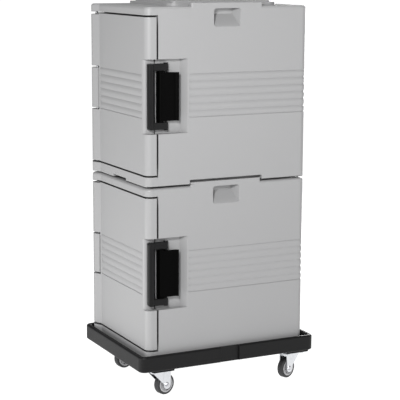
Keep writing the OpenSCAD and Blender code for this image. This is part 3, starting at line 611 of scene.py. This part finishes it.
def stand_camera(look):
    """The camera, turned by the azimuth, elevation and roll of the settings."""
    camera = bpy.data.cameras.new("camera")
    camera.lens = look.lens
    camera.sensor_width = SENSOR
    camera.clip_end = FAR
    stand = place("camera", camera)
    stand.location = look.camera
    stand.rotation_mode = "QUATERNION"
    flat = math.cos(look.elevation)
    back = Vector((math.sin(look.azimuth) * flat, -math.cos(look.azimuth) * flat,
                   math.sin(look.elevation)))
    aim = back.to_track_quat("Z", "Y").to_matrix().to_4x4()
    turn = Matrix.Rotation(look.roll, 4, "Z")
    stand.rotation_quaternion = (aim @ turn).to_quaternion()
    bpy.context.scene.camera = stand


# ---------------------------------------------------------------- operators


class PAN_OT_shells(bpy.types.Operator):
    """Give the cabinets and doors their moulded plastic"""

    bl_idname = "pan.shells"
    bl_label = "Moulded shells"

    def execute(self, context):
        wear(level_nodes("cabinet", "door"), moulded_shell())
        return {"FINISHED"}


class PAN_OT_latches(bpy.types.Operator):
    """Give the latches their nylon and add the heads on their pins"""

    bl_idname = "pan.latches"
    bl_label = "Latches"

    def execute(self, context):
        look = settings("pan_latch")
        steel = turned_steel()
        wear(level_nodes("latch_base", "latch_lever"),
             latch_nylon("paddle_nylon", look.colour, look.sheen))
        wear(level_nodes("latch_bail"),
             latch_nylon("bail_nylon", look.bail_colour, look.bail_sheen))
        wear(level_nodes("latch_screws", "latch_pivot", "latch_bail_pins", "hinge_pin"), steel)
        for level in LEVELS:
            piece(f"{level}_bail_pin_heads", bail_pin_heads(level), steel, f"{level}_bail")
        return {"FINISHED"}


class PAN_OT_seals(bpy.types.Operator):
    """Give the door seals their rubber"""

    bl_idname = "pan.seals"
    bl_label = "Door seals"

    def execute(self, context):
        wear(level_nodes("door_gasket"), seal_rubber())
        return {"FINISHED"}


class PAN_OT_dolly(bpy.types.Operator):
    """Give the dolly its grained plastic"""

    bl_idname = "pan.dolly"
    bl_label = "Dolly"

    def execute(self, context):
        wear(["dolly_tray"], dolly_plastic())
        return {"FINISHED"}


class PAN_OT_casters(bpy.types.Operator):
    """Give the casters their plating, hubs and tyres"""

    bl_idname = "pan.casters"
    bl_label = "Casters"

    def execute(self, context):
        wear(["caster_bolts"] + caster_nodes("plate") + caster_nodes("fork"), zinc_plate())
        wear(caster_nodes("axle"), turned_steel())
        wear(caster_nodes("hub"), hub_plastic())
        wear(caster_nodes("tyre"), tyre_rubber())
        return {"FINISHED"}


class PAN_OT_stage(bpy.types.Operator):
    """Lay the floor, hang the soft boxes and stand the camera"""

    bl_idname = "pan.stage"
    bl_label = "Stage"

    def execute(self, context):
        look = settings("pan_stage")
        floor = bmesh.new()
        bmesh.ops.create_grid(floor, x_segments=FLOOR_CELLS, y_segments=FLOOR_CELLS,
                              size=FLOOR_SIZE)
        ground = place("studio_floor", to_mesh("studio_floor", floor, pale_floor()))
        studio_world(look.sky)
        for name, spot, target, size, power in SOFT_BOXES:
            soft_box(name, spot, target, size, getattr(look, power))
        stand_camera(look)
        context.scene.view_settings.view_transform = "Standard"
        return {"FINISHED"}


class PAN_PT_panel(bpy.types.Panel):
    """Lists the steps that dress the carriers, and their settings"""

    bl_label = "Pan Carriers"
    bl_idname = "PAN_PT_panel"
    bl_space_type = "VIEW_3D"
    bl_region_type = "UI"
    bl_category = "Pan Carriers"

    def draw(self, context):
        for step in STEPS:
            self.layout.operator(step.bl_idname)
        for name, group in SETTINGS.items():
            held = self.layout.box()
            held.label(text=group.__doc__)
            for key in group.__annotations__:
                held.prop(getattr(context.scene, name), key)


STEPS = (PAN_OT_stage, PAN_OT_shells, PAN_OT_latches, PAN_OT_seals, PAN_OT_dolly,
         PAN_OT_casters)


def register():
    """Adds the settings, the steps and the panel to Blender."""
    for name, group in SETTINGS.items():
        bpy.utils.register_class(group)
        setattr(bpy.types.Scene, name, bpy.props.PointerProperty(type=group))
    for kind in STEPS + (PAN_PT_panel,):
        bpy.utils.register_class(kind)


def unregister():
    """Takes them out again."""
    for kind in reversed(STEPS + (PAN_PT_panel,)):
        bpy.utils.unregister_class(kind)
    for name, group in SETTINGS.items():
        delattr(bpy.types.Scene, name)
        bpy.utils.unregister_class(group)


def main():
    """Dresses the carriers step by step."""
    register()
    for step in STEPS:
        group, name = step.bl_idname.split(".")
        getattr(getattr(bpy.ops, group), name)()


if __name__ == "__main__":
    main()
